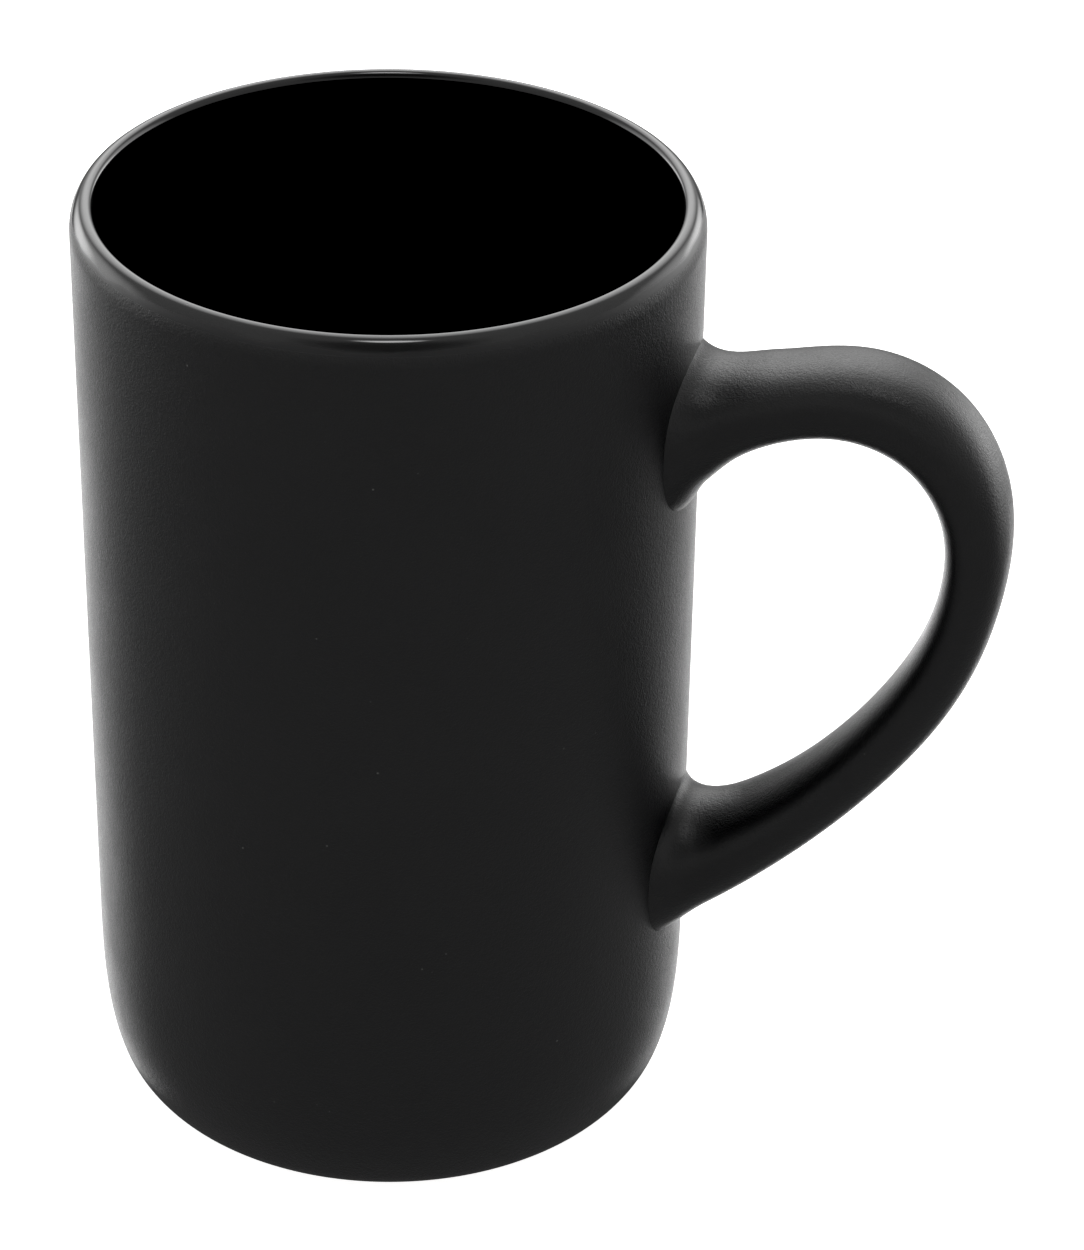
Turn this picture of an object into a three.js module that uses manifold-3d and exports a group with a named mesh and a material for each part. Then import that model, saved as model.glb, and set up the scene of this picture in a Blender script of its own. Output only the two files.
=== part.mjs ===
// A tall straight-sided stoneware mug with an ear handle: thrown cup, separately made handle, the slip
// joints between them, and the four coats of glaze. Millimetres, +Z up. The origin is on the table under
// the middle of the mug's length, the cup's own axis stands at CUP_AXIS_X, and the handle points along +X.
import * as THREE from "three";
import { mergeVertices } from "three/addons/utils/BufferGeometryUtils.js";
import Module from "manifold-3d";

// Cup
const CUP_RADIUS = 40; // over the outside glaze
const CUP_HEIGHT = 130;
const CUP_FACETS = 60; // sides of every turned piece, a multiple of four so that the box is exact
const MOUTH_RADIUS = 36.9; // over the inside glaze
const FLOOR_HEIGHT = 6.5; // inside floor above the table, over the glaze
const INNER_CORNER = 10; // radius where the inside wall turns into the floor

// Glaze coats and the clearance that cut faces keep to their neighbours
const GLAZE = 0.3;
const GAP = 0.3;

// Lip: an outer and an inner quarter ellipse that meet on the crest
const CREST_RADIUS = 37.8;
const LIP_DROP_OUTSIDE = 3.8;
const LIP_DROP_INSIDE = 1.0;
const LINER_END_ANGLE = Math.PI / 6; // where, round the outer quarter, the gloss glaze gives way to the matte

// Shoulder: a superellipse from the wall down to the foot
const SHOULDER_WIDTH = 6.5;
const SHOULDER_HEIGHT = 25;
const SHOULDER_POWER = 2.9;

// Foot: an unglazed ring, with a glazed recess inside it
const FOOT_HEIGHT = 1.0;
const FOOT_BEVEL = 0.4;
const FOOT_OUTER = 32.6; // flat contact ring
const FOOT_INNER = 29.6;
const RECESS_RADIUS = 28.2;
const RECESS_HEIGHT = 1.9; // to the clay; the glaze takes up GLAZE of it

// Handle: how far it stands out from the wall, and the stations that its centre line passes through,
// as [distance from the cup's axis, height, half thickness, half width]
const HANDLE_REACH = 41.5;
const HANDLE_STATIONS = [
  [31.0, 97.5, 8.9, 10.2],
  [38.0, 102.75, 7.4, 9.5],
  [44.0, 106.5, 6.0, 8.3],
  [52.0, 109.25, 4.9, 7.3],
  [61.25, 110.5, 5.2, 7.0],
  [70.5, 106.75, 5.2, 6.8],
  [76.5, 96.75, 4.4, 6.8],
  [76.5, 82.75, 4.0, 6.8],
  [70.25, 66.5, 4.1, 6.9],
  [55.5, 48.25, 4.5, 7.6],
  [38.0, 36.0, 6.7, 9.5],
  [28.0, 33.5, 8.8, 10.2],
];
const HANDLE_STEPS = 33; // rings along the whole handle, three to each stretch between stations
const ROOT_STEPS = 6; // rings of each end that the slip joints follow
const HANDLE_SIDES = 16;
const HANDLE_POWER = 2.5; // superellipse of the handle's section
const JOINT_THICKNESS = 1.2;

const CUP_AXIS_X = -HANDLE_REACH / 2;
const CLAY_RADIUS = CUP_RADIUS - GLAZE;

const wasm = await Module();
wasm.setup();

// Points on an axis-aligned ellipse, as [radius, height], from one angle to another.
function ellipseArc([r, z], [width, height], from, to, steps) {
  const points = [];
  for (let i = 0; i <= steps; i++) {
    const angle = from + ((to - from) * i) / steps;
    points.push([r + width * Math.cos(angle), z + height * Math.sin(angle)]);
  }
  return points;
}

// The outer half of the lip, from one angle above the wall to another; inset moves it into the clay.
function lipOutside(inset, from, to, steps) {
  const centre = [CREST_RADIUS, CUP_HEIGHT - LIP_DROP_OUTSIDE];
  const size = [CUP_RADIUS - CREST_RADIUS - inset, LIP_DROP_OUTSIDE - inset];
  return ellipseArc(centre, size, from, to, steps);
}

// The inner half of the lip, from the crest down to the inside wall.
function lipInside(inset) {
  const centre = [CREST_RADIUS, CUP_HEIGHT - LIP_DROP_INSIDE];
  const size = [CREST_RADIUS - MOUTH_RADIUS - inset, LIP_DROP_INSIDE - inset];
  return ellipseArc(centre, size, Math.PI / 2, Math.PI, 3).slice(1);
}

// The shoulder, from the foot's edge up to the straight wall of the given radius.
function shoulder(radius) {
  const steps = 9;
  const points = [];
  for (let i = 0; i <= steps; i++) {
    const angle = (Math.PI / 2) * (1 - i / steps);
    const across = Math.max(0, Math.cos(angle)) ** (2 / SHOULDER_POWER);
    const down = Math.max(0, Math.sin(angle)) ** (2 / SHOULDER_POWER);
    points.push([
      radius - SHOULDER_WIDTH * (1 - across),
      FOOT_HEIGHT + SHOULDER_HEIGHT * (1 - down),
    ]);
  }
  return points;
}

// The inside from under the lip to the middle of the floor; inset moves it into the clay.
function inside(inset) {
  const size = INNER_CORNER + inset;
  const centre = [MOUTH_RADIUS - INNER_CORNER, FLOOR_HEIGHT + INNER_CORNER];
  return [...ellipseArc(centre, [size, size], 0, -Math.PI / 2, 5), [0, FLOOR_HEIGHT - inset]];
}

// A profile of [radius, height] points turned round the cup's axis.
function turned(profile) {
  const outline = profile.map(([r, z]) => new THREE.Vector2(r, z));
  return new THREE.LatheGeometry(outline, CUP_FACETS).rotateX(Math.PI / 2);
}

// A cylinder round the cup's axis that passes the cup at both ends.
function core(radius) {
  const past = 10;
  return turned([
    [0, -past],
    [radius, -past],
    [radius, CUP_HEIGHT + past],
    [0, CUP_HEIGHT + past],
  ]);
}

function asSolid(geometry) {
  const bare = geometry.clone();
  bare.deleteAttribute("normal");
  bare.deleteAttribute("uv");
  const merged = mergeVertices(bare, 1e-4);
  return new wasm.Manifold(
    new wasm.Mesh({
      numProp: 3,
      vertProperties: merged.attributes.position.array,
      triVerts: new Uint32Array(merged.index.array),
    }),
  );
}

function asGeometry(solid) {
  const mesh = solid.getMesh();
  const geometry = new THREE.BufferGeometry();
  geometry.setAttribute("position", new THREE.BufferAttribute(mesh.vertProperties, 3));
  geometry.setIndex(new THREE.BufferAttribute(mesh.triVerts, 1));
  geometry.computeVertexNormals();
  return geometry;
}

// Centre line and half sizes of the handle as two curves with one parameter.
const handleLine = new THREE.CatmullRomCurve3(
  HANDLE_STATIONS.map(([x, z]) => new THREE.Vector3(x, 0, z)),
  false,
  "catmullrom",
  0.5,
);
const handleSize = new THREE.CatmullRomCurve3(
  HANDLE_STATIONS.map(([, , thickness, width]) => new THREE.Vector3(thickness, width, 0)),
  false,
  "catmullrom",
  0.5,
);

// The handle from one ring to another as a closed solid, thinner all round by inset.
function handleSolid(inset, first = 0, last = HANDLE_STEPS) {
  const positions = [];
  for (let ring = first; ring <= last; ring++) {
    const t = ring / HANDLE_STEPS;
    const centre = handleLine.getPoint(t);
    const along = handleLine.getTangent(t);
    const size = handleSize.getPoint(t);
    const up = new THREE.Vector3(-along.z, 0, along.x);
    for (let side = 0; side < HANDLE_SIDES; side++) {
      const angle = (2 * Math.PI * side) / HANDLE_SIDES;
      const rounded = (v) => Math.sign(v) * Math.abs(v) ** (2 / HANDLE_POWER);
      const lift = (size.x - inset) * rounded(Math.cos(angle));
      const spread = (size.y - inset) * rounded(Math.sin(angle));
      positions.push(centre.x + up.x * lift, spread, centre.z + up.z * lift);
    }
  }

  const faces = [];
  const rings = last - first + 1;
  for (let ring = 0; ring < rings - 1; ring++) {
    for (let side = 0; side < HANDLE_SIDES; side++) {
      const next = (side + 1) % HANDLE_SIDES;
      const a = ring * HANDLE_SIDES + side;
      const b = ring * HANDLE_SIDES + next;
      faces.push(a, a + HANDLE_SIDES, b, b, a + HANDLE_SIDES, b + HANDLE_SIDES);
    }
  }
  const end = (rings - 1) * HANDLE_SIDES;
  for (let side = 1; side < HANDLE_SIDES - 1; side++) {
    faces.push(0, side, side + 1);
    faces.push(end, end + side + 1, end + side);
  }

  const geometry = new THREE.BufferGeometry();
  geometry.setAttribute("position", new THREE.Float32BufferAttribute(positions, 3));
  geometry.setIndex(faces);
  return asSolid(geometry);
}

// The clay cup: foot ring, shoulder, wall, lip, inside wall and floor.
function cupBody() {
  return turned([
    [0, RECESS_HEIGHT],
    [RECESS_RADIUS, RECESS_HEIGHT],
    [FOOT_INNER - FOOT_BEVEL, FOOT_BEVEL],
    [FOOT_INNER, 0],
    [FOOT_OUTER, 0],
    [FOOT_OUTER + FOOT_BEVEL, FOOT_BEVEL],
    ...shoulder(CLAY_RADIUS),
    ...lipOutside(GLAZE, 0, LINER_END_ANGLE, 1),
    ...lipOutside(GLAZE, LINER_END_ANGLE, Math.PI / 2, 3).slice(1),
    ...lipInside(GLAZE),
    ...inside(GLAZE),
  ]);
}

// The gloss glaze inside the cup, which rolls over the lip and ends just below it.
function linerGlaze() {
  const surface = [
    ...lipOutside(0, LINER_END_ANGLE, Math.PI / 2, 3),
    ...lipInside(0),
    ...inside(0),
  ];
  const bond = [
    ...lipOutside(GLAZE, LINER_END_ANGLE, Math.PI / 2, 3),
    ...lipInside(GLAZE),
    ...inside(GLAZE),
  ];
  return turned([...bond.reverse(), ...surface]);
}

// The matte glaze outside the cup, from the foot's edge to the liner glaze, open where the handle is joined.
function cupGlaze() {
  const surface = [...shoulder(CUP_RADIUS), ...lipOutside(0, 0, LINER_END_ANGLE, 1)];
  const bond = [...shoulder(CLAY_RADIUS), ...lipOutside(GLAZE, 0, LINER_END_ANGLE, 1)];
  const coat = turned([...surface, ...bond.reverse(), surface[0]]);
  return asGeometry(asSolid(coat).subtract(handleSolid(0)));
}

// The glaze that fills the recess inside the foot ring.
function baseGlaze() {
  const under = RECESS_HEIGHT - GLAZE;
  return turned([
    [0, under],
    [RECESS_RADIUS, under],
    [RECESS_RADIUS, RECESS_HEIGHT],
    [0, RECESS_HEIGHT],
  ]);
}

const handleClay = handleSolid(GLAZE);
const jointInside = asSolid(core(CLAY_RADIUS + GAP));
const jointOutside = asSolid(core(CLAY_RADIUS + GAP + JOINT_THICKNESS));

// The wiped slip between the cup and one end of the handle.
function slipJoint(first, last) {
  const end = handleSolid(GLAZE, first, last);
  return asGeometry(end.intersect(jointOutside).subtract(jointInside));
}

// The handle's clay, cut to the cup's curve at both ends.
function handle() {
  const clearance = asSolid(core(CLAY_RADIUS + JOINT_THICKNESS + 2 * GAP));
  return asGeometry(handleClay.subtract(clearance));
}

// The matte glaze round the handle and its joints.
function handleGlaze() {
  const clearance = asSolid(core(CUP_RADIUS + GAP));
  return asGeometry(handleSolid(0).subtract(clearance).subtract(handleClay));
}

const FINISHES = {
  bareClay: { color: 0x8f8374, roughness: 0.9, metalness: 0 },
  slip: { color: 0x7d7266, roughness: 0.9, metalness: 0 },
  matteGlaze: { color: 0x1b1b1c, roughness: 0.55, metalness: 0 },
  glossGlaze: { color: 0x0a0a0b, roughness: 0.08, metalness: 0 },
};

function piece(name, geometry, finish) {
  const mesh = new THREE.Mesh(geometry, new THREE.MeshStandardMaterial(FINISHES[finish]));
  mesh.name = name;
  return mesh;
}

const cup = new THREE.Group();
cup.add(
  piece("cup_body", cupBody(), "bareClay"),
  piece("liner_glaze", linerGlaze(), "glossGlaze"),
  piece("cup_glaze", cupGlaze(), "matteGlaze"),
  piece("base_glaze", baseGlaze(), "matteGlaze"),
);

const ear = new THREE.Group();
ear.add(
  piece("handle", handle(), "bareClay"),
  piece("upper_slip_joint", slipJoint(0, ROOT_STEPS), "slip"),
  piece("lower_slip_joint", slipJoint(HANDLE_STEPS - ROOT_STEPS, HANDLE_STEPS), "slip"),
  piece("handle_glaze", handleGlaze(), "matteGlaze"),
);

const mug = new THREE.Group();
mug.add(cup, ear);
mug.position.x = CUP_AXIS_X;

export default mug;
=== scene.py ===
"""A tall straight-sided stoneware mug: matte black glaze outside, gloss black glaze inside and over the lip.

Every piece is a closed surface worked out on a grid of two parameters. The turned pieces carry a profile
round the cup's axis, and the handle carries a rounded section along a centre line and lands on the wall
with a small fillet of slip. Metres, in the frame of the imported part.
"""

import math

import bmesh
import bpy
import numpy as np
from mathutils import Matrix, Vector


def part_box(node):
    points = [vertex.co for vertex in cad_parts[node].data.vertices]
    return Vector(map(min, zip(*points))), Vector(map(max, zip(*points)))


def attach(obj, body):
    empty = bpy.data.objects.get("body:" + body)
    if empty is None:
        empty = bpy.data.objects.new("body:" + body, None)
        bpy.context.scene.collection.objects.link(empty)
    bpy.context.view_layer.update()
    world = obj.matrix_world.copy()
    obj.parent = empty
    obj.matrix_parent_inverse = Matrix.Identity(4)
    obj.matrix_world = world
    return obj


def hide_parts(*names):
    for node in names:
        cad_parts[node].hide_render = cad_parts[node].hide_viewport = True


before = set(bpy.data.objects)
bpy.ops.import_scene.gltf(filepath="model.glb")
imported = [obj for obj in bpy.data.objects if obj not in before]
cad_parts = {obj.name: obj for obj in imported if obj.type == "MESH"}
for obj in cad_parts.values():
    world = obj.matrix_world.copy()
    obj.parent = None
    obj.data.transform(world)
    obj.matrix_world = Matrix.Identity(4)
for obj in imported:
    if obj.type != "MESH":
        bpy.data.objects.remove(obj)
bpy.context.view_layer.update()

MM = 0.001

# Cup, with what the frame gives first
cup_low, cup_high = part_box("cup_glaze")
liner_low, liner_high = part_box("liner_glaze")
CUP_X = (cup_low.x + cup_high.x) / 2
CUP_RADIUS = (cup_high.y - cup_low.y) / 2
CUP_HEIGHT = liner_high.z
FOOT_HEIGHT = cup_low.z
GLAZE = 0.3 * MM
MOUTH_RADIUS = 36.9 * MM
FLOOR_HEIGHT = liner_low.z + GLAZE
INNER_CORNER = 10 * MM

# Lip, shoulder and foot
CREST_RADIUS = 37.8 * MM
LIP_DROP_OUTSIDE = 3.8 * MM
LIP_DROP_INSIDE = 1.0 * MM
LINER_END_ANGLE = math.pi / 6  # up the lip's outside, where the liner ends and the matte coat begins
SHOULDER_WIDTH = 6.5 * MM
SHOULDER_HEIGHT = 25 * MM
SHOULDER_POWER = 2.9
FOOT_BEVEL = 0.4 * MM
TOE_OUT = 0.3 * FOOT_BEVEL  # run and rise of the soft edge between the ring's flat and its bevel
TOE_UP = 0.5 * TOE_OUT
FOOT_OUTER = 32.6 * MM
FOOT_INNER = 29.6 * MM
RECESS_RADIUS = 28.2 * MM
RECESS_FLAT = RECESS_RADIUS - 1.2 * MM  # radius of the recess's level part
RECESS_HEIGHT = 1.9 * MM
RECESS_DROP = 0.5 * MM  # from the level part to the recess's edge

# Handle stations: distance from the cup's axis, height, half thickness and half width
HANDLE_STATIONS = MM * np.array([
    [31.0, 97.5, 8.9, 10.2],
    [38.0, 102.75, 7.4, 9.5],
    [44.0, 106.5, 6.0, 8.3],
    [52.0, 109.25, 4.9, 7.3],
    [61.25, 110.5, 5.2, 7.0],
    [70.5, 106.75, 5.2, 6.8],
    [76.5, 96.75, 4.4, 6.8],
    [76.5, 82.75, 4.0, 6.8],
    [70.25, 66.5, 4.1, 6.9],
    [55.5, 48.25, 4.5, 7.6],
    [38.0, 36.0, 6.7, 9.5],
    [28.0, 33.5, 8.8, 10.2],
])
HANDLE_POWER = 2.5
UPPER_ROOT = (0.2, 2.5)  # stretch of stations in which every rail of the handle crosses the wall
LOWER_ROOT = (10.8, 8.8)
CREASE_ANGLE = math.radians(48)  # at which the flares leave the wall
WEB_ANGLE = math.radians(14)  # the same in the corner above the lower root
ROOT_SINK = 0.05 * MM  # of a flare's edge under the wall's surface
UPPER_LANDING = 1.35 * MM  # from the crossing out to the flare's edge, and what the outer side adds
UPPER_LANDING_MORE = 0.9 * MM
UPPER_REACH = 4.5 * MM  # from the crossing along the rail, and what the outer side adds
UPPER_REACH_MORE = 5.5 * MM
LOWER_LANDING = 1.3 * MM  # the same at the lower root, where it is the inner side that adds
LOWER_LANDING_MORE = 3.6 * MM
LOWER_REACH = 6.0 * MM
LOWER_REACH_MORE = 3.0 * MM
FLARE_PULL = 0.36  # of the flare's span, from each end to the control point beside it

# How finely each stretch is divided
TURNED_SIDES = 320
LIP_STEPS = 24
COAT_LIP_STEPS = 12  # on the lip's outside, below the liner
INNER_LIP_STEPS = 12
SHOULDER_STEPS = 60
WALL_STEPS = 60
INSIDE_STEPS = 40
CORNER_STEPS = 24
FLOOR_STEPS = 10
HANDLE_SIDES = 128
HANDLE_RINGS = 220
FLARE_RINGS = 20
CAP_RINGS = 6
HALVINGS = 40  # of the stretch that holds a rail's crossing
RAIL_STEP = 1e-3  # of the way between stations, to read a rail's direction


# ---------------------------------------------------------------- meshes

def mesh_piece(name, points, wrap_rows=False):
    """A closed mesh from a grid of points, rows by columns: neighbouring points are joined by four-sided
    faces, the last column to the first, and the last row to the first as well where the rows close on
    themselves. A row whose points all meet is a pole, and is welded to one vertex."""
    rows, columns = points.shape[:2]
    index = np.arange(rows * columns).reshape(rows, columns)
    below = index if wrap_rows else index[:-1]
    above = np.roll(index, -1, axis=0) if wrap_rows else index[1:]
    faces = np.stack(
        [below, np.roll(below, -1, axis=1), np.roll(above, -1, axis=1), above], axis=-1
    ).reshape(-1, 4)
    mesh = bpy.data.meshes.new(name)
    mesh.from_pydata(points.reshape(-1, 3).tolist(), [], faces.tolist())
    build = bmesh.new()
    build.from_mesh(mesh)
    bmesh.ops.remove_doubles(build, verts=build.verts, dist=1e-7)
    bmesh.ops.recalc_face_normals(build, faces=build.faces)
    build.to_mesh(mesh)
    build.free()
    mesh.polygons.foreach_set("use_smooth", np.ones(len(mesh.polygons), bool))
    mesh.update()
    piece = bpy.data.objects.new(name, mesh)
    bpy.context.scene.collection.objects.link(piece)
    return piece


def add_piece(name, points, node, material, wrap_rows=False):
    """The finished piece that stands for one node of the frame."""
    piece = mesh_piece(name, points, wrap_rows)
    piece.data.materials.append(material)
    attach(piece, "root")
    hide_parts(node)
    return piece


# ---------------------------------------------------------------- turned pieces

def crowded(steps):
    """Numbers from nought to one whose steps get short towards both ends, half of one less the cosine of
    an even turn. Where two surfaces meet at an edge, the short last face keeps the edge crisp."""
    return (1 - np.cos(np.linspace(0, math.pi, steps + 1))) / 2


def ellipse_arc(centre, size, start, end, steps):
    """Points on an ellipse at crowded angles: the centre plus its half width times the cosine, and its
    half height times the sine."""
    angle = start + (end - start) * crowded(steps)
    return np.stack([centre[0] + size[0] * np.cos(angle), centre[1] + size[1] * np.sin(angle)], axis=-1)


def lip_outside(inset, start, end, steps):
    """The lip's outer curve, a quarter ellipse from the wall up to the crest, or a part of it."""
    centre = (CREST_RADIUS, CUP_HEIGHT - LIP_DROP_OUTSIDE)
    size = (CUP_RADIUS - CREST_RADIUS - inset, LIP_DROP_OUTSIDE - inset)
    return ellipse_arc(centre, size, start, end, steps)


def lip_inside(inset):
    """The lip's inner curve, a smaller quarter ellipse from the crest down to the mouth."""
    centre = (CREST_RADIUS, CUP_HEIGHT - LIP_DROP_INSIDE)
    size = (CREST_RADIUS - MOUTH_RADIUS - inset, LIP_DROP_INSIDE - inset)
    return ellipse_arc(centre, size, math.pi / 2, math.pi, INNER_LIP_STEPS)[1:]


def shoulder(radius):
    """Superellipse from the foot's edge up to the straight wall. Its distance out from the shoulder's
    inner end as a share of the width, and down from the shoulder's top as a share of the height, each
    raised to the shoulder's power, add up to one."""
    angle = np.linspace(math.pi / 2, 0, SHOULDER_STEPS + 1)
    across = np.maximum(np.cos(angle), 0) ** (2 / SHOULDER_POWER)
    down = np.maximum(np.sin(angle), 0) ** (2 / SHOULDER_POWER)
    return np.stack(
        [radius - SHOULDER_WIDTH * (1 - across), FOOT_HEIGHT + SHOULDER_HEIGHT * (1 - down)], axis=-1
    )


def straight(start, end, steps):
    """Points at equal steps on a line, without its two ends."""
    share = np.linspace(0, 1, steps + 1)[1:-1, None]
    return np.asarray(start) + (np.asarray(end) - np.asarray(start)) * share


def inside(inset):
    """The inside wall from under the lip, the round corner and the floor to its middle."""
    size = INNER_CORNER + inset
    centre = (MOUTH_RADIUS - INNER_CORNER, FLOOR_HEIGHT + INNER_CORNER)
    corner = ellipse_arc(centre, (size, size), 0, -math.pi / 2, CORNER_STEPS)
    top = lip_inside(inset)[-1]
    middle = np.array([0.0, FLOOR_HEIGHT - inset])
    wall = straight(top, corner[0], INSIDE_STEPS)
    floor = straight(corner[-1], middle, FLOOR_STEPS)
    return np.vstack([wall, corner, floor, middle])


def turned(profile):
    """Carries a profile of radius and height round the cup's axis: x and y are the radius times the
    cosine and the sine of the angle, measured from the cup's axis."""
    angle = np.linspace(0, 2 * math.pi, TURNED_SIDES, endpoint=False)
    radius = profile[:, :1]
    x = CUP_X + radius * np.cos(angle)
    y = radius * np.sin(angle)
    z = np.broadcast_to(profile[:, 1:], x.shape)
    return np.stack([x, y, z], axis=-1)


def cup_wall(radius):
    """The shoulder and the straight wall up to where the lip begins."""
    foot_to_wall = shoulder(radius)
    top = np.array([radius, CUP_HEIGHT - LIP_DROP_OUTSIDE])
    return np.vstack([foot_to_wall, straight(foot_to_wall[-1], top, WALL_STEPS)])


def cup_clay_profile():
    """The cup's clay from the middle of the recess, over the foot ring, wall and lip, to the middle of
    the floor, one coat's thickness under the glazed surface."""
    foot = np.array([
        [0, RECESS_HEIGHT],
        [RECESS_FLAT, RECESS_HEIGHT],
        [RECESS_RADIUS, RECESS_HEIGHT - RECESS_DROP],
        [FOOT_INNER - FOOT_BEVEL, FOOT_BEVEL],
        [FOOT_INNER - TOE_OUT, TOE_UP],
        [FOOT_INNER, 0],
        [FOOT_OUTER, 0],
        [FOOT_OUTER + TOE_OUT, TOE_UP],
        [FOOT_OUTER + FOOT_BEVEL, FOOT_BEVEL],
    ])
    return np.vstack([
        foot,
        cup_wall(CUP_RADIUS - GLAZE),
        lip_outside(GLAZE, 0, math.pi / 2, LIP_STEPS),
        lip_inside(GLAZE),
        inside(GLAZE),
    ])


def liner_side(inset):
    """One side of the liner, from its edge on the lip to the middle of the floor."""
    over_lip = lip_outside(inset, LINER_END_ANGLE, math.pi / 2, LIP_STEPS)
    return np.vstack([over_lip, lip_inside(inset), inside(inset)])


def liner_profile():
    """The gloss coat: out along the side that holds to the clay and back along its surface."""
    return np.vstack([liner_side(GLAZE)[::-1], liner_side(0)])


def cup_coat_side(inset):
    """One side of the outer coat, from the foot to its edge on the lip."""
    on_lip = lip_outside(inset, 0, LINER_END_ANGLE, COAT_LIP_STEPS)
    return np.vstack([cup_wall(CUP_RADIUS - inset), on_lip])


def cup_coat_profile():
    """The matte coat outside: up along its surface and down along the side that holds to the clay."""
    return np.vstack([cup_coat_side(0), cup_coat_side(GLAZE)[::-1]])


def recess_coat_profile():
    """The flat coat in the recess: out along its underside and back along the clay."""
    under = RECESS_HEIGHT - GLAZE
    return np.array([
        [0, under],
        [RECESS_FLAT * 0.5, under],
        [RECESS_FLAT, under],
        [RECESS_FLAT, RECESS_HEIGHT],
        [0, RECESS_HEIGHT],
    ])


# ---------------------------------------------------------------- handle

def spline_bends(rows):
    """Second derivatives at the stations of the curve through them whose curvature is continuous and
    ends at nothing: each is tied to its neighbours by one line of a linear system."""
    count = len(rows)
    system = np.eye(count)
    bend = np.zeros_like(rows)
    middle = np.arange(1, count - 1)
    system[middle, middle - 1] = 1
    system[middle, middle] = 4
    system[middle, middle + 1] = 1
    bend[1:-1] = 6 * (rows[2:] - 2 * rows[1:-1] + rows[:-2])
    return np.linalg.solve(system, bend)


STATION_BENDS = spline_bends(HANDLE_STATIONS)


def along_handle(place):
    """Station values and their slopes at any place between stations: the cubic between two stations
    that takes their values and their second derivatives."""
    first = np.clip(np.floor(place).astype(int), 0, len(HANDLE_STATIONS) - 2)
    share = (place - first)[..., None]
    rest = 1 - share
    v0, v1 = HANDLE_STATIONS[first], HANDLE_STATIONS[first + 1]
    m0, m1 = STATION_BENDS[first], STATION_BENDS[first + 1]
    value = rest * v0 + share * v1 + ((rest**3 - rest) * m0 + (share**3 - share) * m1) / 6
    slope = v1 - v0 + ((1 - 3 * rest**2) * m0 + (3 * share**2 - 1) * m1) / 6
    return value, slope


def section(turn):
    """The superellipse of unit size at a turn: the cosine and the sine, each divided by the root of the
    sum of their powers."""
    cos, sin = np.cos(turn), np.sin(turn)
    size = (np.abs(cos) ** HANDLE_POWER + np.abs(sin) ** HANDLE_POWER) ** (1 / HANDLE_POWER)
    return cos / size, sin / size


def handle_point(place, turn, inset):
    """A point of the handle: from the centre line, along its in-plane normal by the half thickness times
    the section's first value, and across by the half width times its second. At turn zero the point is
    on the outer face. Relative to the cup's axis."""
    value, slope = along_handle(place)
    length = np.hypot(slope[..., 0], slope[..., 1])
    outwards, across = section(turn)
    lift = (value[..., 2] - inset) * outwards
    side = (value[..., 3] - inset) * across
    x = value[..., 0] - slope[..., 1] / length * lift
    z = value[..., 1] + slope[..., 0] / length * lift
    return np.stack([x, side, z], axis=-1)


def wall_crossing(turn, root, inset):
    """Where each rail of the handle leaves the cup's wall, by halving the stretch that holds the place."""
    buried = np.full_like(turn, root[0])
    clear = np.full_like(turn, root[1])
    for _ in range(HALVINGS):
        middle = (buried + clear) / 2
        point = handle_point(middle, turn, inset)
        outside = np.hypot(point[..., 0], point[..., 1]) > CUP_RADIUS
        buried = np.where(outside, buried, middle)
        clear = np.where(outside, middle, clear)
    return (buried + clear) / 2


def on_wall(arc, height, sink=0.0):
    """The point of the cup's wall at an arc length from the handle's plane and a height, or a little
    below the wall's surface."""
    radius = CUP_RADIUS - sink
    angle = arc / CUP_RADIUS
    return np.stack([radius * np.cos(angle), radius * np.sin(angle), height], axis=-1)


def root_rings(turn, root, inset, landing, reach, crease):
    """The flare at one end of the handle. Each rail leaves the wall at its crossing. The flare starts
    just under the wall's surface, the landing's size out from the crossing and square to the footprint,
    leaves the wall at the crease's angle, and runs as a cubic curve to the rail one reach away from the
    crossing, tangent to the rail.
    Returns its rings from the wall outwards, and the place of each rail where it ends."""
    way = 1 if root[1] > root[0] else -1
    crossing = wall_crossing(turn, root, inset)
    corner = handle_point(crossing, turn, inset)
    rail = (handle_point(crossing + way * RAIL_STEP, turn, inset) - corner) / RAIL_STEP
    end_place = crossing + way * reach / np.linalg.norm(rail, axis=-1)
    end = handle_point(end_place, turn, inset)
    end_way = handle_point(end_place + way * RAIL_STEP, turn, inset) - end
    end_way /= np.linalg.norm(end_way, axis=-1, keepdims=True)

    arc = CUP_RADIUS * np.arctan2(corner[:, 1], corner[:, 0])
    height = corner[:, 2]
    run_arc = np.roll(arc, -1) - np.roll(arc, 1)
    run_height = np.roll(height, -1) - np.roll(height, 1)
    run = np.hypot(run_arc, run_height)
    out_arc, out_height = run_height / run, -run_arc / run
    flip = np.sign((out_arc * arc + out_height * (height - height.mean())).sum())
    out_arc, out_height = flip * out_arc, flip * out_height
    start_arc = arc + landing * out_arc
    start = on_wall(start_arc, height + landing * out_height, ROOT_SINK)
    angle = start_arc / CUP_RADIUS
    level = np.zeros_like(angle)
    along = -np.stack([-np.sin(angle) * out_arc, np.cos(angle) * out_arc, out_height], axis=-1)
    outwards = np.stack([np.cos(angle), np.sin(angle), level], axis=-1)
    start_way = along * np.cos(crease)[:, None] + outwards * np.sin(crease)[:, None]

    pull = FLARE_PULL * np.linalg.norm(end - start, axis=-1, keepdims=True)
    first = start + pull * start_way
    second = end - pull * end_way
    share = crowded(FLARE_RINGS)[:, None, None]
    rings = (
        (1 - share) ** 3 * start
        + 3 * share * (1 - share) ** 2 * first
        + 3 * share**2 * (1 - share) * second
        + share**3 * end
    )
    return rings, end_place


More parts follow.
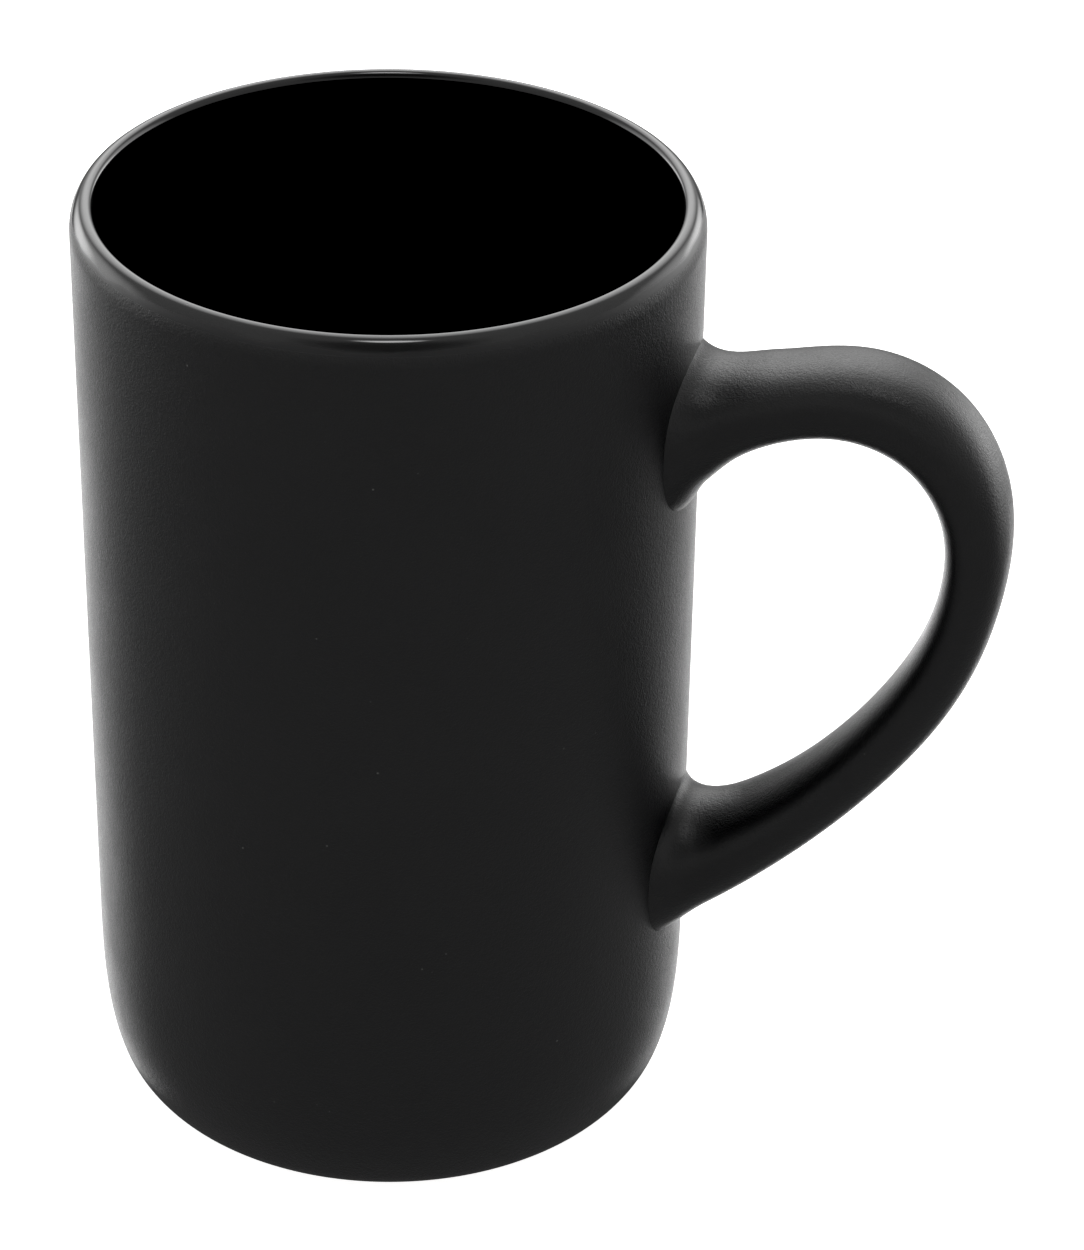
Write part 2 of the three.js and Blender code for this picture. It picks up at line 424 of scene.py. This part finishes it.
def handle_rings(inset):
    """All rings of the handle's surface: the upper flare, the free length and the lower flare. The upper
    root flares a little more on its outer side, the lower one makes a web in the corner above it."""
    turn = np.linspace(0, 2 * math.pi, HANDLE_SIDES, endpoint=False)
    outer = (1 + np.cos(turn)) / 2
    inner = 1 - outer
    landing = UPPER_LANDING + UPPER_LANDING_MORE * outer**2
    reach = UPPER_REACH + UPPER_REACH_MORE * outer
    crease = np.full_like(turn, CREASE_ANGLE)
    upper, start = root_rings(turn, UPPER_ROOT, inset, landing, reach, crease)
    landing = LOWER_LANDING + LOWER_LANDING_MORE * inner**4
    reach = LOWER_REACH + LOWER_REACH_MORE * inner
    crease = CREASE_ANGLE + (WEB_ANGLE - CREASE_ANGLE) * inner**4
    lower, end = root_rings(turn, LOWER_ROOT, inset, landing, reach, crease)
    share = np.linspace(0, 1, HANDLE_RINGS + 1)[1:-1, None]
    turns = np.broadcast_to(turn, (HANDLE_RINGS - 1, HANDLE_SIDES))
    free = handle_point(start + (end - start) * share, turns, inset)
    return upper, free, lower[::-1]


def cap_rings(ring, follow_wall):
    """Rings that shrink from an end of the handle to a pole in its middle, on the wall or straight."""
    share = np.linspace(1, 0, CAP_RINGS + 1)[1:, None, None]
    if not follow_wall:
        return ring.mean(axis=0) * (1 - share) + ring * share
    arc = CUP_RADIUS * np.arctan2(ring[:, 1], ring[:, 0])
    middle = ring[:, 2].mean()
    return on_wall(arc * share[..., 0], middle + (ring[:, 2] - middle) * share[..., 0], ROOT_SINK)


def placed(rings):
    """Moves rings from the cup's axis to the frame."""
    return rings + np.array([CUP_X, 0, 0])


# ---------------------------------------------------------------- materials

def new_material(name):
    """A fresh material with its nodes, its links and its main shader."""
    material = bpy.data.materials.new(name)
    material.use_nodes = True
    nodes = material.node_tree.nodes
    return material, nodes, material.node_tree.links, nodes["Principled BSDF"]


def noise(nodes, links, waves, detail, roughness=0.5):
    """A noise texture on the object's own coordinates, with so many waves to the metre."""
    coordinates = nodes.new("ShaderNodeTexCoord").outputs["Object"]
    texture = nodes.new("ShaderNodeTexNoise")
    texture.inputs["Scale"].default_value = waves
    texture.inputs["Detail"].default_value = detail
    texture.inputs["Roughness"].default_value = roughness
    links.new(coordinates, texture.inputs["Vector"])
    return texture.outputs["Fac"]


def spread(nodes, links, value, low, high, to_low, to_high, eased=False):
    """Maps a range of a value to another, held at its ends, in a straight line or eased in and out."""
    node = nodes.new("ShaderNodeMapRange")
    node.interpolation_type = "SMOOTHSTEP" if eased else "LINEAR"
    node.inputs["From Min"].default_value = low
    node.inputs["From Max"].default_value = high
    node.inputs["To Min"].default_value = to_low
    node.inputs["To Max"].default_value = to_high
    links.new(value, node.inputs["Value"])
    return node.outputs["Result"]


def bump(nodes, links, height, depth, normal=None):
    """Relief of a depth in metres, on the plain surface or over relief that is there already."""
    node = nodes.new("ShaderNodeBump")
    node.inputs["Distance"].default_value = depth
    node.inputs["Strength"].default_value = 1.0
    links.new(height, node.inputs["Height"])
    if normal is not None:
        links.new(normal, node.inputs["Normal"])
    return node.outputs["Normal"]


def combine(nodes, links, operation, first, second):
    """One value worked out from two, such as their sum or their product."""
    node = nodes.new("ShaderNodeMath")
    node.operation = operation
    links.new(first, node.inputs[0])
    links.new(second, node.inputs[1])
    return node.outputs["Value"]


def tone(nodes, links, share, start, end):
    """A colour between two greys, by a share from nothing to one."""
    node = nodes.new("ShaderNodeMix")
    node.data_type = "RGBA"
    node.inputs["A"].default_value = (*start, 1)
    node.inputs["B"].default_value = (*end, 1)
    links.new(share, node.inputs["Factor"])
    return node.outputs["Result"]


PATCH_WAVES = 0.35  # waves of the slow noise to one spacing
PATCH_EDGE = 0.02  # of the slow noise, over which a patch of grains comes in


def specks(nodes, links, spacing, size, patches):
    """Small round grains, one to a cell of the spacing, kept only where a slow noise is high."""
    texture = nodes.new("ShaderNodeTexVoronoi")
    texture.inputs["Scale"].default_value = 1 / spacing
    links.new(nodes.new("ShaderNodeTexCoord").outputs["Object"], texture.inputs["Vector"])
    grain = spread(nodes, links, texture.outputs["Distance"], 0.5 * size / spacing, size / spacing, 1, 0)
    slow = noise(nodes, links, PATCH_WAVES / spacing, 1)
    kept = spread(nodes, links, slow, patches, patches + PATCH_EDGE, 0, 1)
    return combine(nodes, links, "MULTIPLY", grain, kept)


# Glazes: greys, sheen as roughness, waves to the metre, and depths of the relief
GLAZE_IOR = 1.5
NOISE_RANGE = (0.3, 0.7)  # that nearly all of a noise lies in
MATTE_GREY = (0.007, 0.007, 0.0072)
MATTE_SHEEN = 0.41
CLOUD_SHEEN = 0.035  # that the clouds add or take away
GRAIN_SHEEN = 0.06  # that the grain adds or takes away
GRAIN_WAVES, GRAIN_DEPTH = 4200, 0.06 * MM
PIT_WAVES, PIT_DEPTH = 1500, 0.05 * MM
CLOUD_WAVES = 60
GROG_GREY = (0.05, 0.05, 0.048)
GROG_SPACING, GROG_SIZE = 2.6 * MM, 0.16 * MM
SPECK_PATCHES = 0.6  # of the slow noise, above which grains and pinholes are kept
GLOSS_GREY = (0.012, 0.012, 0.012)
GLOSS_SHEEN = (0.04, 0.09)
WEAR_RANGE = (0.35, 0.75)  # of the noise that runs through the gloss's sheen
SATIN_FROM, SATIN_TO = CREST_RADIUS + 1.3 * MM, CREST_RADIUS + 1.8 * MM  # radii of the change to satin
SATIN_DRIFT = 0.2 * MM  # that the change wanders to either side
DRIFT_WAVES = 90
PULL_WAVES, PULL_DEPTH = 220, 0.02 * MM
WEAR_WAVES = 400
PINHOLE_SPACING, PINHOLE_SIZE, PINHOLE_DEPTH = 4 * MM, 0.14 * MM, 0.05 * MM


def matte_glaze():
    """Satin matte black: a fine stony grain, cloudy patches in the sheen, a few pale grains of grog."""
    material, nodes, links, shader = new_material("matte_black_glaze")
    grain = noise(nodes, links, GRAIN_WAVES, 4)
    pits = noise(nodes, links, PIT_WAVES, 3, 0.6)
    cloud = noise(nodes, links, CLOUD_WAVES, 4, 0.6)
    grog = specks(nodes, links, GROG_SPACING, GROG_SIZE, SPECK_PATCHES)
    links.new(tone(nodes, links, grog, MATTE_GREY, GROG_GREY), shader.inputs["Base Color"])
    low, high = MATTE_SHEEN - CLOUD_SHEEN, MATTE_SHEEN + CLOUD_SHEEN
    sheen = spread(nodes, links, cloud, *NOISE_RANGE, low, high)
    fine_sheen = spread(nodes, links, grain, *NOISE_RANGE, -GRAIN_SHEEN, GRAIN_SHEEN)
    links.new(combine(nodes, links, "ADD", sheen, fine_sheen), shader.inputs["Roughness"])
    stony = bump(nodes, links, grain, GRAIN_DEPTH)
    links.new(bump(nodes, links, pits, PIT_DEPTH, stony), shader.inputs["Normal"])
    shader.inputs["IOR"].default_value = GLAZE_IOR
    return material


def gloss_glaze():
    """Deep gloss black with the slight pull of a melted glaze and a few pinholes. Over the outside of the
    lip it thins out and turns satin, as the matte glaze beside it is."""
    material, nodes, links, shader = new_material("gloss_black_glaze")
    centre = nodes.new("ShaderNodeMapping")
    centre.inputs["Location"].default_value = (-CUP_X, 0, 0)
    centre.inputs["Scale"].default_value = (1, 1, 0)
    links.new(nodes.new("ShaderNodeTexCoord").outputs["Object"], centre.inputs["Vector"])
    radius = nodes.new("ShaderNodeVectorMath")
    radius.operation = "LENGTH"
    links.new(centre.outputs["Vector"], radius.inputs[0])
    slow = noise(nodes, links, DRIFT_WAVES, 2)
    drift = spread(nodes, links, slow, *NOISE_RANGE, -SATIN_DRIFT, SATIN_DRIFT)
    edge = combine(nodes, links, "ADD", radius.outputs["Value"], drift)
    satin = spread(nodes, links, edge, SATIN_FROM, SATIN_TO, 0, 1, True)
    pull = noise(nodes, links, PULL_WAVES, 2)
    wear = spread(nodes, links, noise(nodes, links, WEAR_WAVES, 4, 0.6), *WEAR_RANGE, *GLOSS_SHEEN)
    rough = spread(nodes, links, satin, 0, 1, 0, MATTE_SHEEN)
    links.new(tone(nodes, links, satin, GLOSS_GREY, MATTE_GREY), shader.inputs["Base Color"])
    links.new(combine(nodes, links, "MAXIMUM", rough, wear), shader.inputs["Roughness"])
    pinholes = specks(nodes, links, PINHOLE_SPACING, PINHOLE_SIZE, SPECK_PATCHES)
    pulled = bump(nodes, links, pull, PULL_DEPTH)
    links.new(bump(nodes, links, pinholes, -PINHOLE_DEPTH, pulled), shader.inputs["Normal"])
    shader.inputs["IOR"].default_value = GLAZE_IOR
    return material


CLAY_ROUGHNESS = 0.85
CLAY_WAVES, CLAY_DEPTH = 1800, 0.06 * MM
DARK_SPOT, PALE_SPOT = 0.75, 1.15  # times the clay's own colour


def bare_clay(name, color):
    """Unglazed stoneware or slip: a sandy grain of darker and paler spots."""
    material, nodes, links, shader = new_material(name)
    grain = noise(nodes, links, CLAY_WAVES, 6, 0.7)
    tint = nodes.new("ShaderNodeValToRGB")
    tint.color_ramp.elements[0].color = (*[c * DARK_SPOT for c in color], 1)
    tint.color_ramp.elements[1].color = (*[c * PALE_SPOT for c in color], 1)
    tint.color_ramp.elements[0].position = 0.35
    tint.color_ramp.elements[1].position = 0.65
    links.new(grain, tint.inputs["Fac"])
    links.new(tint.outputs["Color"], shader.inputs["Base Color"])
    shader.inputs["Roughness"].default_value = CLAY_ROUGHNESS
    links.new(bump(nodes, links, grain, CLAY_DEPTH), shader.inputs["Normal"])
    return material


# ---------------------------------------------------------------- the mug

MATTE = matte_glaze()
GLOSS = gloss_glaze()
CLAY = bare_clay("bare_stoneware", (0.30, 0.24, 0.18))
SLIP = bare_clay("dried_slip", (0.22, 0.18, 0.14))

add_piece("cup_clay", turned(cup_clay_profile()), "cup_body", CLAY)
add_piece("liner_coat", turned(liner_profile()), "liner_glaze", GLOSS)
add_piece("cup_coat", turned(cup_coat_profile()), "cup_glaze", MATTE, wrap_rows=True)
add_piece("recess_coat", turned(recess_coat_profile()), "base_glaze", MATTE)

upper_skin, free_skin, lower_skin = handle_rings(0)
upper_bond, free_bond, lower_bond = handle_rings(GLAZE)
skin = np.concatenate([upper_skin, free_skin, lower_skin])
bond = np.concatenate([upper_bond, free_bond, lower_bond])
add_piece(
    "handle_coat", placed(np.concatenate([skin, bond[::-1]])), "handle_glaze", MATTE,
    wrap_rows=True,
)
clay_rings = np.concatenate([
    cap_rings(upper_bond[-1], False)[::-1],
    upper_bond[-1:],
    free_bond,
    lower_bond[:1],
    cap_rings(lower_bond[0], False),
])
add_piece("handle_clay", placed(clay_rings), "handle", CLAY)
for name, rings in (("upper_slip", upper_bond), ("lower_slip", lower_bond[::-1])):
    slip_rings = np.concatenate([cap_rings(rings[0], True)[::-1], rings, cap_rings(rings[-1], False)])
    add_piece(name, placed(slip_rings), name + "_joint", SLIP)


# ---------------------------------------------------------------- stage, camera and light

HANDLE_TURN = math.radians(16)  # how far the handle is turned from square to the view, towards it
CAMERA_RISE = math.radians(32.2)
PIVOT_HEIGHT = 0.06  # of the point on the cup's axis that the camera's place is measured from
CAMERA_DISTANCE = 0.5717  # from that point
AIM_UP = 0.0067  # of the view's centre above that point, and to its right
AIM_RIGHT = 0.0201
CAMERA_ROLL = math.radians(1.0)
CAMERA_LENS = 123.1  # millimetres, as is the width of the film
FILM_WIDTH = 36
FLOOR_HALF_WIDTH = 6.0
FLOOR_GREY, FLOOR_ROUGHNESS, FLOOR_GLOW = 0.9, 0.9, 0.9
# Painted contact shade: a dark disc under the foot that the glaze mirrors in place of the floor's shadow,
# with a dim glow for the shaded floor's light
SHADE_RADIUS = CUP_RADIUS - 1 * MM
SHADE_DEPTH = 0.1 * MM
SHADE_SIDES = 64
SHADE_GLOW = 0.15
BLACK_LEVEL = 0.006


def turned_point(x, y, z):
    """A point given as right, away and up in the view's own directions, in the frame."""
    cos, sin = math.cos(HANDLE_TURN), math.sin(HANDLE_TURN)
    return Vector((CUP_X + x * cos - y * sin, x * sin + y * cos, z))


def add_camera():
    """The camera, looking down at the mug with its handle turned a little towards the view."""
    near = CAMERA_DISTANCE * math.cos(CAMERA_RISE)
    above = CAMERA_DISTANCE * math.sin(CAMERA_RISE)
    place = turned_point(0, -near, PIVOT_HEIGHT + above)
    aim = turned_point(AIM_RIGHT, 0, PIVOT_HEIGHT + AIM_UP)
    back = (place - aim).normalized()
    right = Vector((0, 0, 1)).cross(back).normalized()
    up = back.cross(right)
    cos, sin = math.cos(CAMERA_ROLL), math.sin(CAMERA_ROLL)
    across, upright = right * cos + up * sin, up * cos - right * sin
    data = bpy.data.cameras.new("camera")
    data.lens = CAMERA_LENS
    data.sensor_width = FILM_WIDTH
    camera = bpy.data.objects.new("camera", data)
    turn = Matrix((across, upright, back)).transposed().to_4x4()
    camera.matrix_world = Matrix.Translation(place) @ turn
    bpy.context.scene.collection.objects.link(camera)
    bpy.context.scene.camera = camera


def stage_face(name, corners, material):
    """One flat face that belongs to the stage and not to the mug."""
    mesh = bpy.data.meshes.new(name)
    mesh.from_pydata(corners, [], [list(range(len(corners)))])
    mesh.materials.append(material)
    face = bpy.data.objects.new(name, mesh)
    bpy.context.scene.collection.objects.link(face)
    return face


def glowing(name, grey, glow):
    """A plain grey that gives off white light too, and its shader."""
    material, _, _, shader = new_material(name)
    shader.inputs["Base Color"].default_value = (grey, grey, grey, 1)
    shader.inputs["Emission Color"].default_value = (1, 1, 1, 1)
    shader.inputs["Emission Strength"].default_value = glow
    return material, shader


def add_floor():
    """A wide pale floor that the mug stands on. The glaze doesn't mirror it: the tent does that."""
    material, shader = glowing("pale_floor", FLOOR_GREY, FLOOR_GLOW)
    shader.inputs["Roughness"].default_value = FLOOR_ROUGHNESS
    size = FLOOR_HALF_WIDTH
    corners = [(-size, -size, 0), (size, -size, 0), (size, size, 0), (-size, size, 0)]
    floor = stage_face("floor", corners, material)
    floor.visible_glossy = False


def add_contact_shade():
    """A dark disc just under the foot, where the floor gets little light: painted shade that stands for the
    floor's contact shadow, with a dim glow for the shaded floor's light. Of what is seen, only the glaze's
    reflections show it."""
    material, shader = glowing("painted_contact_shade", 0, SHADE_GLOW)
    shader.inputs["Specular IOR Level"].default_value = 0
    angle = np.linspace(0, 2 * math.pi, SHADE_SIDES, endpoint=False)
    x = CUP_X + SHADE_RADIUS * np.cos(angle)
    y = SHADE_RADIUS * np.sin(angle)
    ring = np.stack([x, y, np.full(SHADE_SIDES, -SHADE_DEPTH)], axis=-1)
    disc = stage_face("contact_shade", ring.tolist(), material)
    disc.visible_camera = False
    disc.visible_diffuse = False
    disc.visible_shadow = False


def add_tent(lights, floor_level, front_level, back_level):
    """A white light tent as the sky and floor all round: an even floor, a sky that runs from its front
    to its back level, and soft lights given as azimuth from the direction behind the mug, rise, width
    and level, each fading smoothly from its centre to its width. A level below nothing takes light
    away. The camera itself sees plain white."""
    world = bpy.data.worlds.new("light_tent")
    bpy.context.scene.world = world
    world.use_nodes = True
    nodes, links = world.node_tree.nodes, world.node_tree.links
    direction = nodes.new("ShaderNodeTexCoord").outputs["Generated"]

    def towards(azimuth, rise):
        """The cosine between the direction and one given from behind the mug."""
        turn, lift = math.radians(azimuth), math.radians(rise)
        level_part = math.cos(lift)
        aim = turned_point(math.sin(turn) * level_part, math.cos(turn) * level_part, math.sin(lift))
        dot = nodes.new("ShaderNodeVectorMath")
        dot.operation = "DOT_PRODUCT"
        links.new(direction, dot.inputs[0])
        dot.inputs[1].default_value = aim - turned_point(0, 0, 0)
        return dot.outputs["Value"]

    up = spread(nodes, links, towards(0, 90), -HORIZON, HORIZON, 0, 1)
    sky = spread(nodes, links, towards(0, 0), -1, 1, front_level, back_level)
    level = spread(nodes, links, up, 0, 1, floor_level, 0)
    level = combine(nodes, links, "ADD", level, combine(nodes, links, "MULTIPLY", up, sky))
    for azimuth, rise, width, strength in lights:
        edge = math.cos(math.radians(width))
        glow = spread(nodes, links, towards(azimuth, rise), edge, 1, 0, strength, True)
        level = combine(nodes, links, "ADD", level, glow)
    camera_ray = nodes.new("ShaderNodeLightPath").outputs["Is Camera Ray"]
    seen = nodes.new("ShaderNodeMix")
    seen.inputs["B"].default_value = 1.0
    links.new(camera_ray, seen.inputs["Factor"])
    links.new(level, seen.inputs["A"])
    links.new(seen.outputs["Result"], nodes["Background"].inputs["Strength"])
    nodes["Background"].inputs["Color"].default_value = (1, 1, 1, 1)


FLOOR_LEVEL, FRONT_LEVEL, BACK_LEVEL = 0.2, 0.55, 0.8
HORIZON = 0.1  # sine of the rise over which the tent's floor turns into its sky
LIGHTS = (  # azimuth, rise and width in degrees, and level
    (-14, -36, 25, 3.2),
    (14, -36, 25, 2.7),
    (0, 40, 39, 3.1),
    (-42, 0, 18, 2.4),
    (42, 0, 18, 2.4),
    (-61, 3, 32, 1.9),
    (61, 3, 32, 1.9),
    (180, 45, 34, -0.5),
    (180, 78, 9, 9.0),
)

add_camera()
add_floor()
add_contact_shade()
add_tent(LIGHTS, FLOOR_LEVEL, FRONT_LEVEL, BACK_LEVEL)
view = bpy.context.scene.view_settings
view.view_transform = "Standard"
view.use_curve_mapping = True
view.curve_mapping.black_level = (BLACK_LEVEL, BLACK_LEVEL, BLACK_LEVEL)
view.curve_mapping.update()
